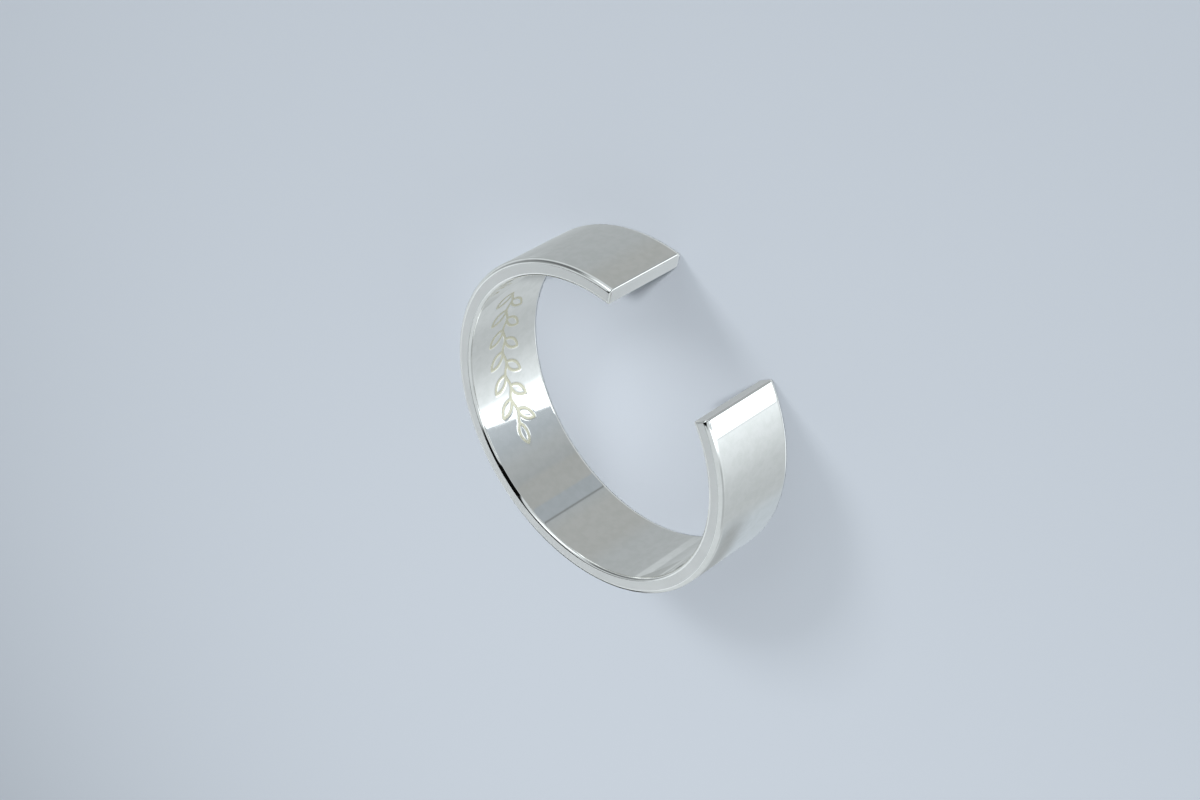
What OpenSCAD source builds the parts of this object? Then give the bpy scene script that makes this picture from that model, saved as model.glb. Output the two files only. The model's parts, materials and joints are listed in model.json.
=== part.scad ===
/* [Finger hole] */
// Diameter of the finger hole, measured on the polished inner wall
inner_d = 17; // [14:0.1:23]

/* [Band] */
// Width of the band, along the finger
band_w = 5; // [3:0.1:8]
// Thickness of the metal, from the inner wall to the outer wall
wall = 0.95; // [0.8:0.05:2]
// Radius of the two rounded edges beside the finger
inner_edge_r = 0.18; // [0.05:0.01:0.3]
// Radius of the two rounded edges on the outside
outer_edge_r = 0.24; // [0.05:0.01:0.35]

/* [Opening] */
// Angle that is left open between the two ends, seen along the finger
gap_angle = 48.4; // [15:0.1:120]
// Width of the small bevel that breaks the edges of each end face
end_bevel = 0.07; // [0.02:0.01:0.15]

/* [Finish] */
// Colour of the polished metal
metal_colour = "silver"; // [silver, gainsboro, gold]

/* [Hidden] */

// The steps of a curve around the finger, and of a small rounded edge
ring_steps = 240;
edge_steps = 32;

// The finger runs along Z. The hole's centre, at the middle of the width, is the origin,
// and the opening between the ends faces -Y.
gap_direction = -90;
inner_r = inner_d / 2;
outer_r = inner_r + wall;
half_w = band_w / 2;
first_end = gap_direction + gap_angle / 2;
metal_angle = 360 - gap_angle;

// A bevel is cut with a square bar, turned by an eighth of a turn, that has its middle on the edge.
// The bar runs past the edge's ends by this factor.
bar_side = end_bevel * sqrt(2);
bar_turn = 45;
overrun = 1.2;

// A rounded edge of the section: a circle that touches the section's side and its wall
module section_edge(x, y, r) {
    translate([x, y])
        circle(r = r, $fn = edge_steps);
}

// The section through the metal: flat sides, straight walls and four rounded edges
module band_section() {
    translate([inner_r + inner_edge_r, -half_w])
        square([wall - inner_edge_r - outer_edge_r, band_w]);
    translate([inner_r, inner_edge_r - half_w])
        square([wall / 2, band_w - 2 * inner_edge_r]);
    translate([inner_r + wall / 2, outer_edge_r - half_w])
        square([wall / 2, band_w - 2 * outer_edge_r]);
    for (side = [-1, 1]) {
        section_edge(inner_r + inner_edge_r, side * (half_w - inner_edge_r), inner_edge_r);
        section_edge(outer_r - outer_edge_r, side * (half_w - outer_edge_r), outer_edge_r);
    }
}

// The section swept round the finger, from one square-cut end to the other
module band_sweep() {
    rotate([0, 0, first_end])
        rotate_extrude(angle = metal_angle, $fn = ring_steps)
            band_section();
}

module bevel_bar(length) {
    rotate([0, 0, bar_turn])
        cube([bar_side, bar_side, length * overrun], center = true);
}

// The four bars that break the edges of the end face that lies on the XZ plane
module end_bevels() {
    for (x = [inner_r, outer_r])
        translate([x, 0, 0])
            bevel_bar(band_w);
    for (side = [-1, 1])
        translate([inner_r + wall / 2, 0, side * half_w])
            rotate([0, 90, 0])
                bevel_bar(wall);
}

// One piece of metal: an open band whose ends are cut square
module band() {
    color(metal_colour)
        difference() {
            band_sweep();
            rotate([0, 0, first_end])
                end_bevels();
            rotate([0, 0, first_end + metal_angle])
                end_bevels();
        }
}

band();
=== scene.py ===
"""Open silver band ring, lying on its side, dressed for a close studio photograph.

Lengths are millimetres times MM, because the scene is in metres. Angles round the band start at +X and turn
towards +Y. The band is made by Geometry Nodes as a grid: its rows follow the band from one end to the other,
and its columns follow the rounded section.
"""

import json
import math
from collections import namedtuple

import bpy
from mathutils import Matrix, Vector


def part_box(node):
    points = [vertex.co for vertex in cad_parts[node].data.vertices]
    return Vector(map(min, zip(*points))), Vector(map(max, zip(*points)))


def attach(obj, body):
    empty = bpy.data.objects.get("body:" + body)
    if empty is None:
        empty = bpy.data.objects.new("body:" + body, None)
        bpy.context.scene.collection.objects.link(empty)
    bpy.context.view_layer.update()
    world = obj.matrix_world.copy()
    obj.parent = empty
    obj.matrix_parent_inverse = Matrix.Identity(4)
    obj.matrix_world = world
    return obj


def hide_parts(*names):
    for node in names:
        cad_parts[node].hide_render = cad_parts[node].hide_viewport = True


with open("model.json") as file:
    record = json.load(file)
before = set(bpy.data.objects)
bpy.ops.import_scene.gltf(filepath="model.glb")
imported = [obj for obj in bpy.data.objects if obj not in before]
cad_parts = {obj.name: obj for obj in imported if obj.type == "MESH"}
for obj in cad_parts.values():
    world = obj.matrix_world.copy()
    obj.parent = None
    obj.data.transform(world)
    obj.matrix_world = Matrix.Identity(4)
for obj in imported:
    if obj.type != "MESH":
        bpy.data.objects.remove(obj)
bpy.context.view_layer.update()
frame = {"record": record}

MM = 0.001
QUARTER_TURN = math.pi / 2

# The band's own sizes: the hole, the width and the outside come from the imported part.
MOUNTS = {mount["name"]: mount for mount in frame["record"]["mounts"]}
BAND_LOW, BAND_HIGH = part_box("band")
HOLE_RADIUS = MOUNTS["finger_hole"]["dims"]["r_mm"] * MM
OUTSIDE_RADIUS = BAND_HIGH.x
BAND_WIDTH = BAND_HIGH.z - BAND_LOW.z
WALL = OUTSIDE_RADIUS - HOLE_RADIUS
INNER_EDGE_RADIUS = 0.18 * MM
OUTER_EDGE_RADIUS = 0.24 * MM
END_EDGE_RADIUS = 0.095 * MM
GAP_ANGLE = math.radians(48.4)

# The engraved sprig on the inner wall: a stem, and leaves that grow from it on both sides. FAR_FROM_LINES is
# added to the distance from its lines wherever the metal isn't the inner wall.
SPRIG_START = math.radians(8)
SPRIG_END = math.radians(67)
SPRIG_LENGTH = (SPRIG_END - SPRIG_START) * HOLE_RADIUS
SPRIG_MARGIN = math.radians(3)
LEAF_COUNT = 12
LEAF_LENGTH = 1.2 * MM
LEAF_WIDTH = 0.52 * MM
LEAF_SLANT = math.radians(48)
LEAF_SIDE_POINTS = 12
STEM_WAVE = 0.1 * MM
STEM_STEPS_PER_LEAF = 8
LINE_WIDTH = 0.17 * MM
LINE_SOFTNESS = 0.03 * MM
LINE_DEPTH = 0.018 * MM
FAR_FROM_LINES = 1 * MM

# Steps of the grid along the band: an end's rounding, the rows before the sprig, those that are engraved, the
# rows after it, and the other rounding. The cells are small only where the sprig is cut. Past each rounding a
# few rows close the flat of the end: first a narrow rim, whose share of the way is CAP_RIM, then the rest.
CELL = 0.046 * MM
CAP_ROWS = 2
CAP_RIM = 0.06
END_STEPS = 6
ROWS_BEFORE = 68
ROWS_ENGRAVED = round((SPRIG_LENGTH + 2 * SPRIG_MARGIN * HOLE_RADIUS) / CELL)
ROWS_AFTER = 168
LAST_STEP = 2 * END_STEPS + ROWS_BEFORE + ROWS_ENGRAVED + ROWS_AFTER

# Steps of the grid round the section. Crowding draws those of the flat sides and the outer wall towards their
# edges.
CORNER_STEPS = 8
FACE_STEPS = 6
INNER_STEPS = round(BAND_WIDTH / CELL)
OUTER_STEPS = 10
SIDE_STEPS = (FACE_STEPS, INNER_STEPS, FACE_STEPS, OUTER_STEPS)
COLUMNS = 4 * CORNER_STEPS + sum(SIDE_STEPS)
CROWDING = 0.9

# How close two things have to be: counts, angles, the points of one seam and, as a cosine, a face's normal
# and the direction of a flat.
COUNT_SLACK = 0.5
ANGLE_SLACK = 0.001
WELD_DISTANCE = 0.0001 * MM
FLAT_ENOUGH = 0.9985

# The camera: where it looks, from which side and how far, and how it is turned, with its angles in degrees.
# Blender takes the lens and the sensor in plain millimetres.
CAMERA_AIM = Vector((0.95, 0.13, 0.38)) * MM
CAMERA_AZIMUTH = -98.91
CAMERA_ELEVATION = 36.07
CAMERA_DISTANCE = 100.96 * MM
CAMERA_ROLL = -120.52
CAMERA_LENS = 58.3
CAMERA_SENSOR = 36
CAMERA_NEAREST = 5 * MM
CAMERA_FARTHEST = 10000 * MM


class Flow:
    """A value that runs through a node tree, so that a sum of such values is written as a sum."""

    def __init__(self, tree, socket):
        self.tree = tree
        self.socket = socket

    def math(self, operation, *others):
        return maths(self.tree, operation, self, *others)

    def __add__(self, other):
        return self.math("ADD", other)

    def __sub__(self, other):
        return self.math("SUBTRACT", other)

    def __mul__(self, other):
        return self.math("MULTIPLY", other)

    def __truediv__(self, other):
        return self.math("DIVIDE", other)

    def __rsub__(self, other):
        return maths(self.tree, "SUBTRACT", other, self)

    __radd__ = __add__
    __rmul__ = __mul__


def feed(tree, socket, value):
    """Links a flow to an input socket, or sets the socket to a plain value."""
    if isinstance(value, Flow):
        tree.links.new(value.socket, socket)
    else:
        socket.default_value = value


def put(tree, kind, inputs=None, **settings):
    """Adds a node with these settings, and feeds its inputs, which are given by name or number."""
    node = tree.nodes.new(kind)
    for name, value in settings.items():
        setattr(node, name, value)
    for socket, value in (inputs or {}).items():
        feed(tree, node.inputs[socket], value)
    return node


def flow(tree, kind, inputs=None, output=0, **settings):
    """Adds a node and gives one of its outputs as a flow."""
    return Flow(tree, put(tree, kind, inputs, **settings).outputs[output])


def maths(tree, operation, *values):
    """Works out one operation of the Math node."""
    return flow(tree, "ShaderNodeMath", dict(enumerate(values)), operation=operation)


def ramp(value, low, high, start=0.0, end=1.0, smooth=False):
    """Goes from start to end as value goes from low to high, and stays level outside them."""
    inputs = {"Value": value, "From Min": low, "From Max": high, "To Min": start, "To Max": end}
    shape = "SMOOTHSTEP" if smooth else "LINEAR"
    return flow(value.tree, "ShaderNodeMapRange", inputs, interpolation_type=shape, clamp=True)


def vector(tree, x=0.0, y=0.0, z=0.0):
    """Joins three values to a vector."""
    return flow(tree, "ShaderNodeCombineXYZ", {"X": x, "Y": y, "Z": z})


def split(value):
    """The three values of a vector."""
    node = put(value.tree, "ShaderNodeSeparateXYZ", {"Vector": value})
    return [Flow(value.tree, output) for output in node.outputs]


def new_group(name, kind, inputs, outputs):
    """Starts a node group. inputs and outputs map names to socket types; gives the tree, its inputs as flows
    and the node that takes its outputs."""
    tree = bpy.data.node_groups.new(name, kind)
    for socket, socket_type in inputs.items():
        tree.interface.new_socket(socket, in_out="INPUT", socket_type=socket_type)
    for socket, socket_type in outputs.items():
        tree.interface.new_socket(socket, in_out="OUTPUT", socket_type=socket_type)
    entry = put(tree, "NodeGroupInput")
    given = {socket: Flow(tree, entry.outputs[socket]) for socket in inputs}
    return tree, given, put(tree, "NodeGroupOutput")


def use_group(tree, group, inputs):
    """Places a node group in a tree with its own values, and gives its first output."""
    kind = "GeometryNodeGroup" if tree.bl_idname == "GeometryNodeTree" else "ShaderNodeGroup"
    return flow(tree, kind, inputs, node_tree=group)


# The sprig, as lines on a flat sheet: X runs along the inner wall and Y across it.

LEAF_SIZES = ("Leaf Length", "Leaf Width", "Leaf Slant", "Stem Wave")


def leaf_outline(tree, size):
    """Two arcs that meet in points, from the stem to the leaf's tip."""
    tip = vector(tree, x=size["Leaf Length"])
    sides = put(tree, "GeometryNodeJoinGeometry")
    for way in (1, -1):
        belly = vector(tree, x=size["Leaf Length"] * 0.5, y=size["Leaf Width"] * (0.5 * way))
        arc = {"Resolution": LEAF_SIDE_POINTS, "Start": (0, 0, 0), "Middle": belly, "End": tip}
        feed(tree, sides.inputs["Geometry"], flow(tree, "GeometryNodeCurveArc", arc, mode="POINTS"))
    return flow(tree, "GeometryNodeCurveToMesh", {"Curve": Flow(tree, sides.outputs["Geometry"])})


def stem_line(tree, size, steps):
    """Points along the stem, which swings a little to each side, one swing for two leaves."""
    gap = vector(tree, x=size["Length"] / steps)
    line = flow(tree, "GeometryNodeMeshLine", {"Count": steps + 1, "Offset": gap})
    along = split(flow(tree, "GeometryNodeInputPosition"))[0]
    swing = (along / size["Length"] * (LEAF_COUNT * math.pi)).math("COSINE") * size["Stem Wave"]
    return flow(tree, "GeometryNodeSetPosition", {"Geometry": line, "Offset": vector(tree, y=swing)})


def sprig_tree():
    """A stem with leaves that stand out to one side and the other in turn, and one leaf at its end."""
    inputs = {name: "NodeSocketFloat" for name in ("Length", *LEAF_SIZES)}
    outputs = {"Lines": "NodeSocketGeometry"}
    tree, size, result = new_group("Leaf sprig", "GeometryNodeTree", inputs, outputs)
    index = flow(tree, "GeometryNodeInputIndex")
    side = 1 - 2 * index.math("MODULO", 2)
    last = index.math("COMPARE", LEAF_COUNT, COUNT_SLACK)
    turn = size["Leaf Slant"] * side * (1 - last)
    leaves = {
        "Points": stem_line(tree, size, LEAF_COUNT),
        "Instance": leaf_outline(tree, size),
        "Rotation": vector(tree, z=turn),
    }
    lines = put(tree, "GeometryNodeJoinGeometry")
    feed(tree, lines.inputs["Geometry"], flow(tree, "GeometryNodeInstanceOnPoints", leaves))
    feed(tree, lines.inputs["Geometry"], stem_line(tree, size, STEM_STEPS_PER_LEAF * LEAF_COUNT))
    whole = {"Geometry": Flow(tree, lines.outputs["Geometry"])}
    feed(tree, result.inputs["Lines"], flow(tree, "GeometryNodeRealizeInstances", whole))
    return tree


# The band.

BAND_SIZES = {
    "Hole Diameter": 2 * HOLE_RADIUS,
    "Wall": WALL,
    "Band Width": BAND_WIDTH,
    "Inner Edge Radius": INNER_EDGE_RADIUS,
    "Outer Edge Radius": OUTER_EDGE_RADIUS,
    "End Edge Radius": END_EDGE_RADIUS,
    "Gap Angle": GAP_ANGLE,
    "Sprig Length": SPRIG_LENGTH,
    "Leaf Length": LEAF_LENGTH,
    "Leaf Width": LEAF_WIDTH,
    "Leaf Slant": LEAF_SLANT,
    "Stem Wave": STEM_WAVE,
    "Line Width": LINE_WIDTH,
    "Line Depth": LINE_DEPTH,
}


def section_walk(column, size):
    """Where a column lies on the section. It starts on the outside just under the top edge, and goes inwards
    over the top, down the hole, outwards below and up the outside. Gives the centre and radius of the edge's
    rounding, the angle that the surface faces (0 is outwards, a quarter turn up), and roughly the length
    walked."""
    half_wall = size["Wall"] * 0.5
    half_width = size["Band Width"] * 0.5
    inner = size["Inner Edge Radius"]
    outer = size["Outer Edge Radius"]
    corners = (
        (half_wall - outer, half_width - outer, outer),
        (inner - half_wall, half_width - inner, inner),
        (inner - half_wall, inner - half_width, inner),
        (half_wall - outer, outer - half_width, outer),
    )
    across, up, radius = corners[0]
    facing, walked, start = 0, 0, 0
    for number, steps in enumerate(SIDE_STEPS):
        here = corners[number]
        following = corners[(number + 1) % len(corners)]
        turned = ramp(column, start, start + CORNER_STEPS)
        start += CORNER_STEPS
        along = ramp(column, start, start + steps)
        if steps != INNER_STEPS:
            along = along - (along * math.tau).math("SINE") * (CROWDING / math.tau)
        start += steps
        facing = facing + turned * QUARTER_TURN
        across = across + (following[0] - here[0]) * along
        up = up + (following[1] - here[1]) * along
        radius = radius + (following[2] - here[2]) * along
        side = size["Band Width"] if number % 2 else size["Wall"]
        walked = walked + turned * here[2] * QUARTER_TURN + along * side
    return across, up, radius, facing, walked


def row_walk(row, middle_radius, size):
    """Where a row lies: its angle round the band, how far its section is drawn in by the rounding of an end,
    and how far it is drawn to the middle of the section, to close the flat of the end."""
    rounding = size["End Edge Radius"]
    rounding_angle = rounding / middle_radius
    step = row - CAP_ROWS
    from_first = ramp(step, 0, END_STEPS) * QUARTER_TURN
    from_last = ramp(step, LAST_STEP, LAST_STEP - END_STEPS) * QUARTER_TURN
    inset = rounding * (2 - from_first.math("SINE") - from_last.math("SINE"))

    half_gap = size["Gap Angle"] * 0.5
    first_face = half_gap - QUARTER_TURN
    angle = first_face + rounding_angle * (1 - from_first.math("COSINE") + from_last.math("COSINE"))
    first_end = first_face + rounding_angle
    last_end = 3 * QUARTER_TURN - half_gap - rounding_angle
    engraved_from = SPRIG_START - SPRIG_MARGIN
    engraved_to = SPRIG_END + SPRIG_MARGIN
    spans = (
        (ROWS_BEFORE, engraved_from - first_end),
        (ROWS_ENGRAVED, engraved_to - engraved_from),
        (ROWS_AFTER, last_end - engraved_to),
    )
    start = END_STEPS
    for rows, span in spans:
        angle = angle + ramp(step, start, start + rows) * span
        start += rows

    cap_step = (-1 * step).math("MAXIMUM", step - LAST_STEP).math("MAXIMUM", 0)
    drawn_in = ramp(cap_step, 0, 1) * CAP_RIM + ramp(cap_step, 1, CAP_ROWS) * (1 - CAP_RIM)
    return angle, inset, drawn_in


def engraving(tree, angle, up, on_inner_wall, size):
    """The distance from the nearest line of the sprig, and the depth to which the inner wall is cut."""
    sprig_sizes = {name: size[name] for name in LEAF_SIZES}
    lines = use_group(tree, sprig_tree(), {"Length": size["Sprig Length"], **sprig_sizes})
    along = (angle - SPRIG_START) * (size["Hole Diameter"] * 0.5)
    near = {"Target": lines, "Source Position": vector(tree, x=along, y=up)}
    distance = flow(tree, "GeometryNodeProximity", near, output="Distance", target_element="EDGES")
    distance = distance + (1 - on_inner_wall) * FAR_FROM_LINES
    half_line = size["Line Width"] * 0.5
    cut = ramp(distance, half_line - LINE_SOFTNESS, half_line + LINE_SOFTNESS, 1, 0, smooth=True)
    return distance, cut * size["Line Depth"]


def flat_faces(tree):
    """Picks the two flat sides of the band, which face up and down, and the flats of its two ends, which face
    along the band."""
    normal = flow(tree, "GeometryNodeInputNormal")
    x, y = split(flow(tree, "GeometryNodeInputPosition"))[:2]
    run = flow(tree, "ShaderNodeVectorMath", {0: vector(tree, 0 - y, x)}, operation="NORMALIZE")
    along = flow(tree, "ShaderNodeVectorMath", {0: normal, 1: run}, output="Value", operation="DOT_PRODUCT")
    upright = split(normal)[2].math("ABSOLUTE")
    return along.math("ABSOLUTE").math("MAXIMUM", upright).math("GREATER_THAN", FLAT_ENOUGH)


def band_tree():
    """The whole band: a grid bent round the section and along the arc, with its ends closed and rounded."""
    inputs = {name: "NodeSocketFloat" for name in BAND_SIZES}
    inputs.update({"Polished Finish": "NodeSocketMaterial", "Satin Finish": "NodeSocketMaterial"})
    outputs = {"Band": "NodeSocketGeometry"}
    tree, size, result = new_group("Open band ring", "GeometryNodeTree", inputs, outputs)

    # The half keeps the division from falling just short of a whole row.
    index = flow(tree, "GeometryNodeInputIndex")
    row = ((index + 0.5) / (COLUMNS + 1)).math("FLOOR")
    column = index - row * (COLUMNS + 1)

    middle_radius = (size["Hole Diameter"] + size["Wall"]) * 0.5
    across, up, radius, facing, walked = section_walk(column, size)
    angle, inset, drawn_in = row_walk(row, middle_radius, size)
    reach = radius - inset
    across = across + reach * facing.math("COSINE")
    up = up + reach * facing.math("SINE")
    on_inner_wall = facing.math("COMPARE", 2 * QUARTER_TURN, ANGLE_SLACK)
    distance, cut = engraving(tree, angle, up, on_inner_wall, size)
    out = middle_radius + across * (1 - drawn_in) + cut
    position = vector(tree, out * angle.math("COSINE"), out * angle.math("SINE"), up * (1 - drawn_in))

    rows = LAST_STEP + 1 + 2 * CAP_ROWS
    grid = flow(tree, "GeometryNodeMeshGrid", {"Vertices X": rows, "Vertices Y": COLUMNS + 1})
    capture = put(tree, "GeometryNodeCaptureAttribute", {"Geometry": grid}, domain="POINT")
    capture.capture_items.new("VECTOR", "Run")
    feed(tree, capture.inputs["Run"], vector(tree, angle * middle_radius, walked))
    mesh = Flow(tree, capture.outputs["Geometry"])
    stored = {"Geometry": mesh, "Name": "UVMap", "Value": Flow(tree, capture.outputs["Run"])}
    mesh = flow(tree, "GeometryNodeStoreNamedAttribute", stored, data_type="FLOAT2", domain="CORNER")
    stored = {"Geometry": mesh, "Name": "line_distance", "Value": distance}
    mesh = flow(tree, "GeometryNodeStoreNamedAttribute", stored, data_type="FLOAT", domain="POINT")
    mesh = flow(tree, "GeometryNodeSetPosition", {"Geometry": mesh, "Position": position})
    mesh = flow(tree, "GeometryNodeMergeByDistance", {"Geometry": mesh, "Distance": WELD_DISTANCE})
    mesh = flow(tree, "GeometryNodeSetShadeSmooth", {"Geometry": mesh})
    mesh = flow(tree, "GeometryNodeRealizeInstances", {"Geometry": mesh})
    mesh = flow(tree, "GeometryNodeSetMaterial", {"Geometry": mesh, "Material": size["Polished Finish"]})
    satin = {"Geometry": mesh, "Selection": flat_faces(tree), "Material": size["Satin Finish"]}
    feed(tree, result.inputs["Band"], flow(tree, "GeometryNodeSetMaterial", satin))
    return tree


def make_band(polished, satin):
    """Runs the band's tree once and keeps the result as a plain mesh."""
    tree = band_tree()
    band = bpy.data.objects.new("open_band", bpy.data.meshes.new("open_band_start"))
    bpy.context.scene.collection.objects.link(band)
    modifier = band.modifiers.new("Band", "NODES")
    modifier.node_group = tree
    values = {**BAND_SIZES, "Polished Finish": polished, "Satin Finish": satin}
    for item in tree.interface.items_tree:
        if item.in_out == "INPUT":
            modifier[item.identifier] = values[item.name]
    depsgraph = bpy.context.evaluated_depsgraph_get()
    mesh = bpy.data.meshes.new_from_object(band.evaluated_get(depsgraph))
    mesh.name = "open_band"
    band.modifiers.remove(modifier)
    band.data = mesh
    return band


# Finishes.

SILVER = (0.93, 0.925, 0.91, 1)
DULLED_SILVER = (0.855, 0.86, 0.835, 1)
SATIN_SILVER = (0.975, 0.97, 0.96, 1)
BRUSHED_SILVER = (0.94, 0.935, 0.925, 1)
FROSTED_GOLD = (0.80, 0.77, 0.62, 1)

# Polished walls: fine lines and soft patches that dull the mirror a little, and frost in the sprig's lines.
# HAIRLINES is the stretch of the fine lines' height over which the dull hairlines come up.
POLISHING_LINES = {"Line Length": 2.5 * MM, "Line Width": 0.05 * MM}
POLISHING_PATCH = 0.45 * MM
POLISHING_DEPTH = 0.0001 * MM
POLISHED_ROUGHNESS = 0.025
PATCH_ROUGHNESS = 0.02
PATCH_DULLING = 0.6
HAIRLINES = (0.60, 0.72)
HAIRLINE_DULLING = 0.5
FROST_SOFTNESS = 0.3 * LINE_SOFTNESS
FROST_ROUGHNESS = 0.4

# Satin sides: lines left by brushing, and patches that are a little rougher.
BRUSHING_LINES = {"Line Length": 1.2 * MM, "Line Width": 0.035 * MM}
BRUSHING_PATCH = 1.2 * MM
BRUSHING_DEPTH = 0.002 * MM
SATIN_ROUGHNESS = 0.32
BRUSHED_PATCH_ROUGHNESS = 0.06
BRUSHED_LINE_ROUGHNESS = 0.08

# The stretch of the noise over which a patch comes up.
PATCH_EDGE = (0.3, 0.7)

# The sockets of a Mix node that mixes colours. Its other kinds of value have sockets of the same names.
MIX_AMOUNT = 0
MIX_FIRST_COLOUR = 6
MIX_SECOND_COLOUR = 7
MIX_RESULT_COLOUR = 2


def new_material(name, values):
    """Starts a material with one Principled shader, whose sockets take these values."""
    material = bpy.data.materials.new(name)
    material.use_nodes = True
    tree = material.node_tree
    tree.nodes.clear()
    shader = put(tree, "ShaderNodeBsdfPrincipled", values)
    output = put(tree, "ShaderNodeOutputMaterial")
    tree.links.new(shader.outputs["BSDF"], output.inputs["Surface"])
    return material, tree, shader


def fine_lines_group():
    """Fine lines that a polishing cloth or an abrasive leaves along the band."""
    inputs = {"Place": "NodeSocketVector", "Line Length": "NodeSocketFloat", "Line Width": "NodeSocketFloat"}
    outputs = {"Height": "NodeSocketFloat"}
    tree, given, result = new_group("Fine lines", "ShaderNodeTree", inputs, outputs)
    x, y = split(given["Place"])[:2]
    place = vector(tree, x / given["Line Length"], y / given["Line Width"])
    noise = {"Vector": place, "Scale": 1.0, "Detail": 3.0, "Roughness": 0.6}
    feed(tree, result.inputs["Height"], flow(tree, "ShaderNodeTexNoise", noise))
    return tree


def clouding_group():
    """Soft patches, such as a cloth leaves on metal."""
    inputs = {"Place": "NodeSocketVector", "Patch Size": "NodeSocketFloat"}
    outputs = {"Amount": "NodeSocketFloat"}
    tree, given, result = new_group("Clouding", "ShaderNodeTree", inputs, outputs)
    scale = maths(tree, "DIVIDE", 1, given["Patch Size"])
    place = flow(tree, "ShaderNodeVectorMath", {0: given["Place"], "Scale": scale}, operation="SCALE")
    noise = flow(tree, "ShaderNodeTexNoise", {"Vector": place, "Scale": 1.0, "Detail": 2.0})
    feed(tree, result.inputs["Amount"], ramp(noise, *PATCH_EDGE, smooth=True))
    return tree


def bump(tree, height, depth):
    """Turns a height from 0 to 1 into a relief of that depth."""
    return flow(tree, "ShaderNodeBump", {"Height": height, "Distance": depth, "Strength": 1.0})


def mixed(tree, amount, first, second):
    """A colour that goes from the first to the second as the amount goes from 0 to 1."""
    inputs = {MIX_AMOUNT: amount, MIX_FIRST_COLOUR: first, MIX_SECOND_COLOUR: second}
    return flow(tree, "ShaderNodeMix", inputs, MIX_RESULT_COLOUR, data_type="RGBA")


def polished_silver(fine_lines, clouding):
    """The mirror finish of the walls, edges and hole, with the frosted lines of the sprig."""
    material, tree, shader = new_material("polished_silver", {"Metallic": 1.0})
    run = flow(tree, "ShaderNodeUVMap", uv_map="UVMap")
    place = flow(tree, "ShaderNodeTexCoord", output="Object")
    distance = flow(tree, "ShaderNodeAttribute", output="Fac", attribute_name="line_distance")
    edge = LINE_WIDTH / 2
    frost = ramp(distance, edge - FROST_SOFTNESS, edge + FROST_SOFTNESS, 1, 0, smooth=True)
    lines = use_group(tree, fine_lines, {"Place": run, **POLISHING_LINES})
    patches = use_group(tree, clouding, {"Place": place, "Patch Size": POLISHING_PATCH})
    hairlines = ramp(lines, *HAIRLINES, smooth=True)
    dulling = PATCH_DULLING * patches + HAIRLINE_DULLING * hairlines
    colour = mixed(tree, frost, mixed(tree, dulling, SILVER, DULLED_SILVER), FROSTED_GOLD)
    roughness = POLISHED_ROUGHNESS + PATCH_ROUGHNESS * patches + FROST_ROUGHNESS * frost
    feed(tree, shader.inputs["Base Color"], colour)
    feed(tree, shader.inputs["Roughness"], roughness)
    feed(tree, shader.inputs["Normal"], bump(tree, lines, POLISHING_DEPTH))
    return material


def satin_silver(fine_lines, clouding):
    """The satin finish of the two flat sides and the two end faces, brushed along the band."""
    material, tree, shader = new_material("satin_silver", {"Metallic": 1.0})
    run = flow(tree, "ShaderNodeUVMap", uv_map="UVMap")
    place = flow(tree, "ShaderNodeTexCoord", output="Object")
    lines = use_group(tree, fine_lines, {"Place": run, **BRUSHING_LINES})
    patches = use_group(tree, clouding, {"Place": place, "Patch Size": BRUSHING_PATCH})
    roughness = SATIN_ROUGHNESS + BRUSHED_PATCH_ROUGHNESS * patches + BRUSHED_LINE_ROUGHNESS * lines
    feed(tree, shader.inputs["Base Color"], mixed(tree, lines, BRUSHED_SILVER, SATIN_SILVER))
    feed(tree, shader.inputs["Roughness"], roughness)
    feed(tree, shader.inputs["Normal"], bump(tree, lines, BRUSHING_DEPTH))
    return material


# The studio that the polished metal mirrors. Its azimuths and elevations are in degrees, as the ring sees
# them, and a brightness is the one that the metal shows where it mirrors that place. A strip is three values:
# where it begins, where it ends, and half the width of its soft sides. A tint is red, green and blue.

CIRCLE = 360
HALF_CIRCLE = 180
DEGREES_PER_RADIAN = HALF_CIRCLE / math.pi

COOL = (0.93, 1.0, 1.03)
BLUISH = (0.90, 1.0, 1.08)
GREENISH = (0.955, 1.0, 0.995)

Stop = namedtuple("Stop", "azimuth brightness tint")
Panel = namedtuple("Panel", "azimuth half_width low high softness brightness")
Seam = namedtuple("Seam", "azimuths elevations brightness")

# Pale and grey walls all round, which blend into one another from stop to stop.
STUDIO_WALLS = (
    Stop(0, 0.675, COOL),
    Stop(42, 0.685, COOL),
    Stop(60, 0.72, COOL),
    Stop(70, 0.745, COOL),
    Stop(84, 0.74, COOL),
    Stop(96, 0.765, COOL),
    Stop(138, 0.775, COOL),
    Stop(150, 0.74, COOL),
    Stop(164, 0.74, COOL),
    Stop(180, 0.775, COOL),
    Stop(195, 0.865, COOL),
    Stop(203, 0.91, COOL),
    Stop(213, 0.975, COOL),
    Stop(216, 0.79, BLUISH),
    Stop(243, 0.70, BLUISH),
    Stop(258, 0.67, COOL),
    Stop(270, 0.64, COOL),
    Stop(274, 0.645, GREENISH),
    Stop(291, 0.65, GREENISH),
    Stop(292, 0.64, BLUISH),
    Stop(304, 0.645, BLUISH),
    Stop(306, 0.66, COOL),
    Stop(316, 0.66, GREENISH),
    Stop(344, 0.66, GREENISH),
    Stop(CIRCLE, 0.675, COOL),
)

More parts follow.
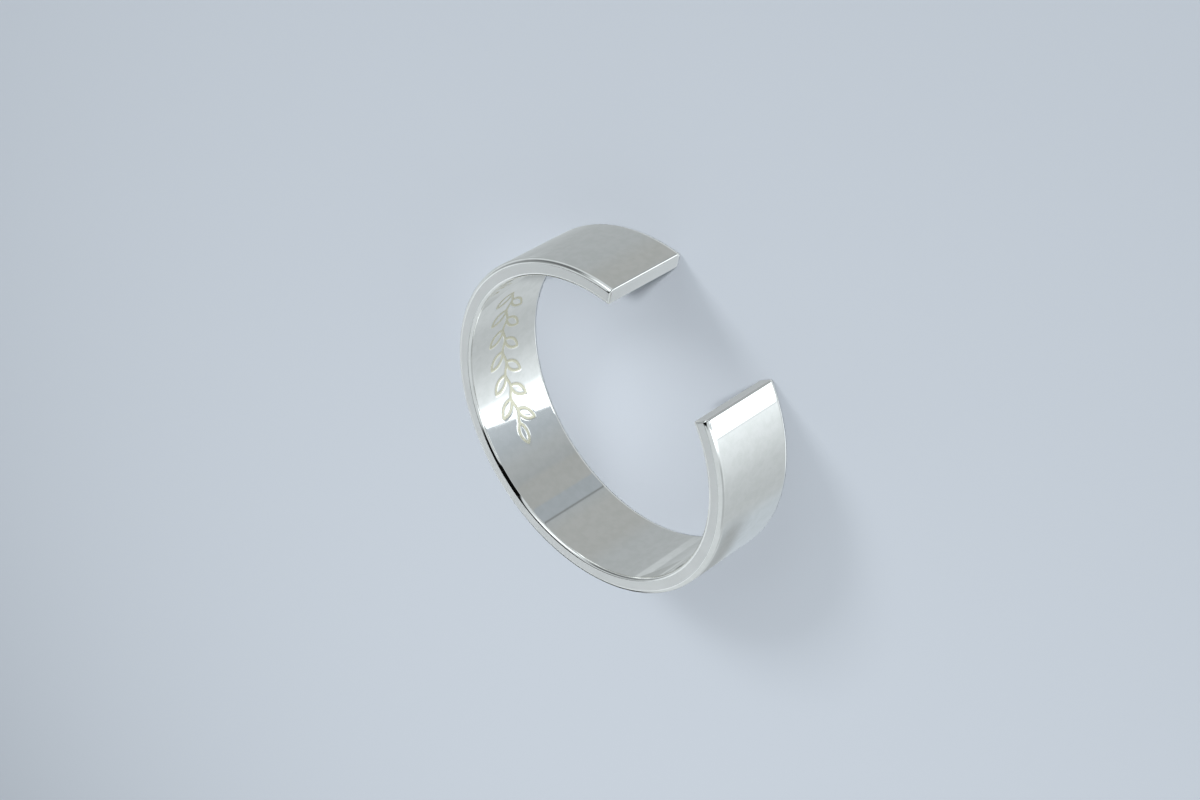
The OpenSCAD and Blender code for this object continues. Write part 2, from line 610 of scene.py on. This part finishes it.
# Panels before the walls. Each covers the ones above it in the list. One that reaches half a circle to each
# side of its middle goes all round.
STUDIO_PANELS = (
    Panel(40.5, 5.5, -36.2, -30, 1.2, 0.765),
    Panel(0, HALF_CIRCLE, -12, 95, 4, 0.82),
    Panel(0, HALF_CIRCLE, -95, -46, 4, 0.80),
    Panel(148, 14, -80, -50, 6, 1.35),
    Panel(184, 20, -14, 24, 5, 0.70),
    Panel(80, 20, 24, 39, 6, 0.93),
    Panel(95, 10, -28, 19, 3, 0.30),
    Panel(239, 10, -24, 0, 3, 1.05),
    Panel(37, 18, 18, 45, 8, 0.55),
    Panel(6, 20, 14, 52, 8, 0.42),
)

# A bluish wall low on one side, which fades out between the two elevations of WALL_TOP, and the edge of a
# grey screen before it, which slants and is at its named elevations where the azimuth is SCREEN_AZIMUTH.
SIDE_AZIMUTHS = (84, 146, 10)
WALL_TOP = (-36.9, -36.3)
WALL_BRIGHTNESS = 0.765
SCREEN_EDGE = (-36.5, -35.7, 0.35)
SCREEN_SLANT = 0.029
SCREEN_AZIMUTH = 100
SCREEN_BRIGHTNESS = 0.645

# A black cloth that hangs over the ring, from the camera's side to the far side. Its left and right side
# stand off from its middle line by a share of the distance to the ring. Each bend of a side is the angle over
# the ring where it starts, the angle where it ends, in degrees, and how far the side moves.
CLOTH_AZIMUTH = math.radians(268)
CLOTH_LENGTH = (-2, 141, 3)
CLOTH_LEFT = -0.25
CLOTH_LEFT_BENDS = ((50, 58, -0.15), (78, 125, 0.40))
CLOTH_RIGHT = 0.17
CLOTH_RIGHT_BENDS = ((100, 107, 0.14), (117, 124, -0.065))
CLOTH_SOFTNESS = 0.03
CLOTH_BRIGHTNESS = 0.04

# Bright panels before the cloth.
PANELS_BEFORE_CLOTH = (
    Panel(325, 20, 34, 66, 2.5, 1.25),
    Panel(352, 8, 38, 58, 3, 0.93),
)

# The softbox. Its first side is sharp below the elevations of FIRST_SIDE_BEND and very soft above them. Its
# last side slants within limits, and is at its named azimuth where the elevation is LAST_SIDE_LEVEL.
SOFTBOX_FIRST_SIDE = 214
FIRST_SIDE_BEND = (-36.6, -35.6)
SHARP_SIDE = 0.4
BLURRED_SIDE = 7
SOFTBOX_LAST_SIDE = 229
LAST_SIDE_SLANT = 4.5
LAST_SIDE_LEVEL = -33.7
LAST_SIDE_LIMITS = (225, 240)
LAST_SIDE_SOFTNESS = 0.6
SOFTBOX_ELEVATIONS = (-46, 30, 6)
SOFTBOX_BRIGHTNESS = 1.35

# Narrow seams between the panels.
SEAMS = (
    Seam((212.9, 213.7, 0.3), (-46, -36.5, 0.5), 0.90),
    Seam((303.8, 305.2, 0.5), (-60, -14, 2), 0.52),
)

# The share of the studio's light that falls on the table, and what the camera sees past the table's edge.
TABLE_FILL = 0.5
BACKDROP_COLOUR = (0.50, 0.56, 0.63, 1)


def window(value, low, high, softness):
    """One between low and high and zero outside them, with soft steps that reach this far to both sides."""
    rise = ramp(value, low - softness, low + softness, smooth=True)
    return rise * ramp(value, high - softness, high + softness, 1, 0, smooth=True)


def linear(brightness):
    """The light that a display shows with this brightness, by the sRGB curve."""
    return ((brightness + 0.055) / 1.055) ** 2.4 if brightness > 0.04045 else brightness / 12.92


def studio_light(brightness, tint):
    """The colour of a light whose green looks this bright once silver has mirrored it."""
    light = linear(brightness) / SILVER[1]
    return (*(light * part for part in tint), 1)


def wall_light(tree, azimuth):
    """The walls, as a ramp of colours that runs once round the ring."""
    walls = put(tree, "ShaderNodeValToRGB", {"Fac": azimuth / CIRCLE})
    stops = walls.color_ramp.elements
    for wall in STUDIO_WALLS[1:-1]:
        stops.new(wall.azimuth / CIRCLE)
    for stop, wall in zip(stops, STUDIO_WALLS):
        stop.color = studio_light(wall.brightness, wall.tint)
    return Flow(tree, walls.outputs["Color"])


def bent_side(over, side, bends):
    """How far a side of the cloth stands off, once it has moved at each of its bends."""
    for low, high, move in bends:
        side = side + ramp(over, low, high, 0, move)
    return side


class Studio:
    """The light from every direction, which starts as the walls and is painted over one thing at a time."""

    def __init__(self, tree):
        self.tree = tree
        self.x, self.y, self.z = split(flow(tree, "ShaderNodeTexCoord", output="Generated"))
        self.azimuth = (self.y.math("ARCTAN2", self.x) * DEGREES_PER_RADIAN).math("WRAP", CIRCLE, 0)
        self.elevation = self.z.math("ARCSINE") * DEGREES_PER_RADIAN
        self.light = wall_light(tree, self.azimuth)

    def paint(self, mask, brightness, tint=COOL):
        """Covers what is there with a light of this brightness, as far as the mask goes."""
        self.light = mixed(self.tree, mask, self.light, studio_light(brightness, tint))

    def paint_panel(self, panel):
        """Paints an upright panel with soft sides, or a band that goes all round."""
        mask = window(self.elevation, panel.low, panel.high, panel.softness)
        if panel.half_width != HALF_CIRCLE:
            aside = (self.azimuth - panel.azimuth).math("WRAP", HALF_CIRCLE, -HALF_CIRCLE).math("ABSOLUTE")
            edge = (panel.half_width - panel.softness, panel.half_width + panel.softness)
            mask = ramp(aside, *edge, 1, 0, smooth=True) * mask
        self.paint(mask, panel.brightness)

    def paint_side_wall(self):
        """Paints the low wall on one side, and then the edge of the screen before it."""
        side = window(self.azimuth, *SIDE_AZIMUTHS)
        self.paint(side * ramp(self.elevation, *WALL_TOP, 1, 0), WALL_BRIGHTNESS, BLUISH)
        slanted = self.elevation + (self.azimuth - SCREEN_AZIMUTH) * SCREEN_SLANT
        self.paint(side * window(slanted, *SCREEN_EDGE), SCREEN_BRIGHTNESS)

    def paint_cloth(self):
        """Paints the black cloth, by the angle over the ring and the share by which a direction is aside."""
        cosine, sine = math.cos(CLOTH_AZIMUTH), math.sin(CLOTH_AZIMUTH)
        toward = self.x * cosine + self.y * sine
        aside = self.y * cosine - self.x * sine
        over = self.z.math("ARCTAN2", toward) * DEGREES_PER_RADIAN
        left = aside - bent_side(over, CLOTH_LEFT, CLOTH_LEFT_BENDS)
        right = aside - bent_side(over, CLOTH_RIGHT, CLOTH_RIGHT_BENDS)
        cloth = window(over, *CLOTH_LENGTH)
        cloth = cloth * ramp(left, -CLOTH_SOFTNESS, CLOTH_SOFTNESS, smooth=True)
        cloth = cloth * ramp(right, -CLOTH_SOFTNESS, CLOTH_SOFTNESS, 1, 0, smooth=True)
        self.paint(cloth, CLOTH_BRIGHTNESS)

    def paint_softbox(self):
        """Paints the bright softbox between its two unlike sides."""
        softness = ramp(self.elevation, *FIRST_SIDE_BEND, SHARP_SIDE, BLURRED_SIDE)
        first = SOFTBOX_FIRST_SIDE
        softbox = ramp(self.azimuth, first - softness, first + softness, smooth=True)
        lowest, highest = LAST_SIDE_LIMITS
        last = SOFTBOX_LAST_SIDE + (LAST_SIDE_LEVEL - self.elevation) * LAST_SIDE_SLANT
        last = last.math("MAXIMUM", lowest).math("MINIMUM", highest)
        softbox = softbox * ramp(self.azimuth - last, -LAST_SIDE_SOFTNESS, LAST_SIDE_SOFTNESS, 1, 0)
        self.paint(softbox * window(self.elevation, *SOFTBOX_ELEVATIONS), SOFTBOX_BRIGHTNESS)

    def paint_seam(self, seam):
        """Paints a narrow upright strip."""
        mask = window(self.azimuth, *seam.azimuths) * window(self.elevation, *seam.elevations)
        self.paint(mask, seam.brightness)


def make_studio():
    """The world: what the polished metal mirrors. The table gets a share of its light, and the camera sees a
    plain backdrop."""
    world = bpy.data.worlds.new("studio")
    bpy.context.scene.world = world
    world.use_nodes = True
    tree = world.node_tree
    tree.nodes.clear()
    studio = Studio(tree)
    for panel in STUDIO_PANELS:
        studio.paint_panel(panel)
    studio.paint_side_wall()
    studio.paint_cloth()
    for panel in PANELS_BEFORE_CLOTH:
        studio.paint_panel(panel)
    studio.paint_softbox()
    for seam in SEAMS:
        studio.paint_seam(seam)

    path = put(tree, "ShaderNodeLightPath")
    strength = ramp(Flow(tree, path.outputs["Diffuse Depth"]), 0, 1, 1, TABLE_FILL)
    mirrored = put(tree, "ShaderNodeBackground", {"Color": studio.light, "Strength": strength})
    seen = put(tree, "ShaderNodeBackground", {"Color": BACKDROP_COLOUR})
    either = put(tree, "ShaderNodeMixShader")
    tree.links.new(path.outputs["Is Camera Ray"], either.inputs[0])
    tree.links.new(mirrored.outputs[0], either.inputs[1])
    tree.links.new(seen.outputs[0], either.inputs[2])
    output = put(tree, "ShaderNodeOutputWorld")
    tree.links.new(either.outputs[0], output.inputs["Surface"])


# The table top, the lamps and the camera.

FLOOR_SIZE = 3000 * MM
FLOOR_COLOUR = (0.544, 0.589, 0.649, 1)
FLOOR_ROUGHNESS = 0.6


def make_floor():
    """The pale table top that the ring lies on. The metal doesn't mirror it."""
    half = FLOOR_SIZE / 2
    level = BAND_LOW.z
    corners = [(-half, -half, level), (half, -half, level), (half, half, level), (-half, half, level)]
    mesh = bpy.data.meshes.new("table_top")
    mesh.from_pydata(corners, [], [(0, 1, 2, 3)])
    floor = bpy.data.objects.new("table_top", mesh)
    bpy.context.scene.collection.objects.link(floor)
    values = {"Base Color": FLOOR_COLOUR, "Roughness": FLOOR_ROUGHNESS, "Specular IOR Level": 0.0}
    material = new_material("pale_table", values)[0]
    mesh.materials.append(material)
    floor.visible_glossy = False


def aimed(name, data, aim, azimuth, elevation, distance, roll=0):
    """Places a lamp or camera so that it faces a point from this side and distance. Angles are in degrees."""
    place = bpy.data.objects.new(name, data)
    bpy.context.scene.collection.objects.link(place)
    around, above = math.radians(azimuth), math.radians(elevation)
    level = math.cos(above)
    back = Vector((math.cos(around) * level, math.sin(around) * level, math.sin(above)))
    turned = back.to_track_quat("Z", "Y").to_matrix() @ Matrix.Rotation(math.radians(roll), 3, "Z")
    place.matrix_world = Matrix.Translation(aim + back * distance) @ turned.to_4x4()
    return place


def make_lamp(name, kind, aim, azimuth, elevation, distance, **settings):
    """Makes a lamp with these settings, which faces a point given in millimetres. The metal doesn't mirror
    it, and the camera doesn't see it."""
    lamp = bpy.data.lights.new(name, kind)
    for setting, value in settings.items():
        setattr(lamp, setting, value)
    place = aimed(name, lamp, Vector(aim) * MM, azimuth, elevation, distance)
    place.visible_glossy = False
    place.visible_camera = False


def make_lamps():
    """A wide soft pool of light from the camera's side, a lamp that draws the shadow on the right, and a
    narrow lamp that fills the table inside the ring."""
    make_lamp(
        "front_lamp",
        "SPOT",
        aim=(-26, 37, 0),
        azimuth=-95,
        elevation=48,
        distance=1100 * MM,
        energy=45.3,
        spot_size=math.radians(15.6),
        spot_blend=1.0,
        shadow_soft_size=90 * MM,
    )
    make_lamp(
        "side_lamp",
        "AREA",
        aim=(0, 0, 0),
        azimuth=-8,
        elevation=35,
        distance=500 * MM,
        energy=0.78,
        size=150 * MM,
    )
    make_lamp(
        "inside_lamp",
        "SPOT",
        aim=(4.2, 3.2, 0),
        azimuth=-100,
        elevation=66,
        distance=500 * MM,
        energy=2.8,
        spot_size=math.radians(2.0),
        spot_blend=1.0,
        shadow_soft_size=4 * MM,
    )


def make_camera():
    """The camera, at the photograph's angle and with its turn of the picture."""
    camera = bpy.data.cameras.new("camera")
    camera.lens = CAMERA_LENS
    camera.sensor_width = CAMERA_SENSOR
    camera.clip_start = CAMERA_NEAREST
    camera.clip_end = CAMERA_FARTHEST
    place = aimed(
        "camera",
        camera,
        aim=CAMERA_AIM,
        azimuth=CAMERA_AZIMUTH,
        elevation=CAMERA_ELEVATION,
        distance=CAMERA_DISTANCE,
        roll=CAMERA_ROLL,
    )
    bpy.context.scene.camera = place


fine_lines = fine_lines_group()
clouding = clouding_group()
band = make_band(polished_silver(fine_lines, clouding), satin_silver(fine_lines, clouding))
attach(band, "root")
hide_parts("band")

make_floor()
make_lamps()
make_studio()
make_camera()
bpy.context.scene.view_settings.view_transform = "Standard"
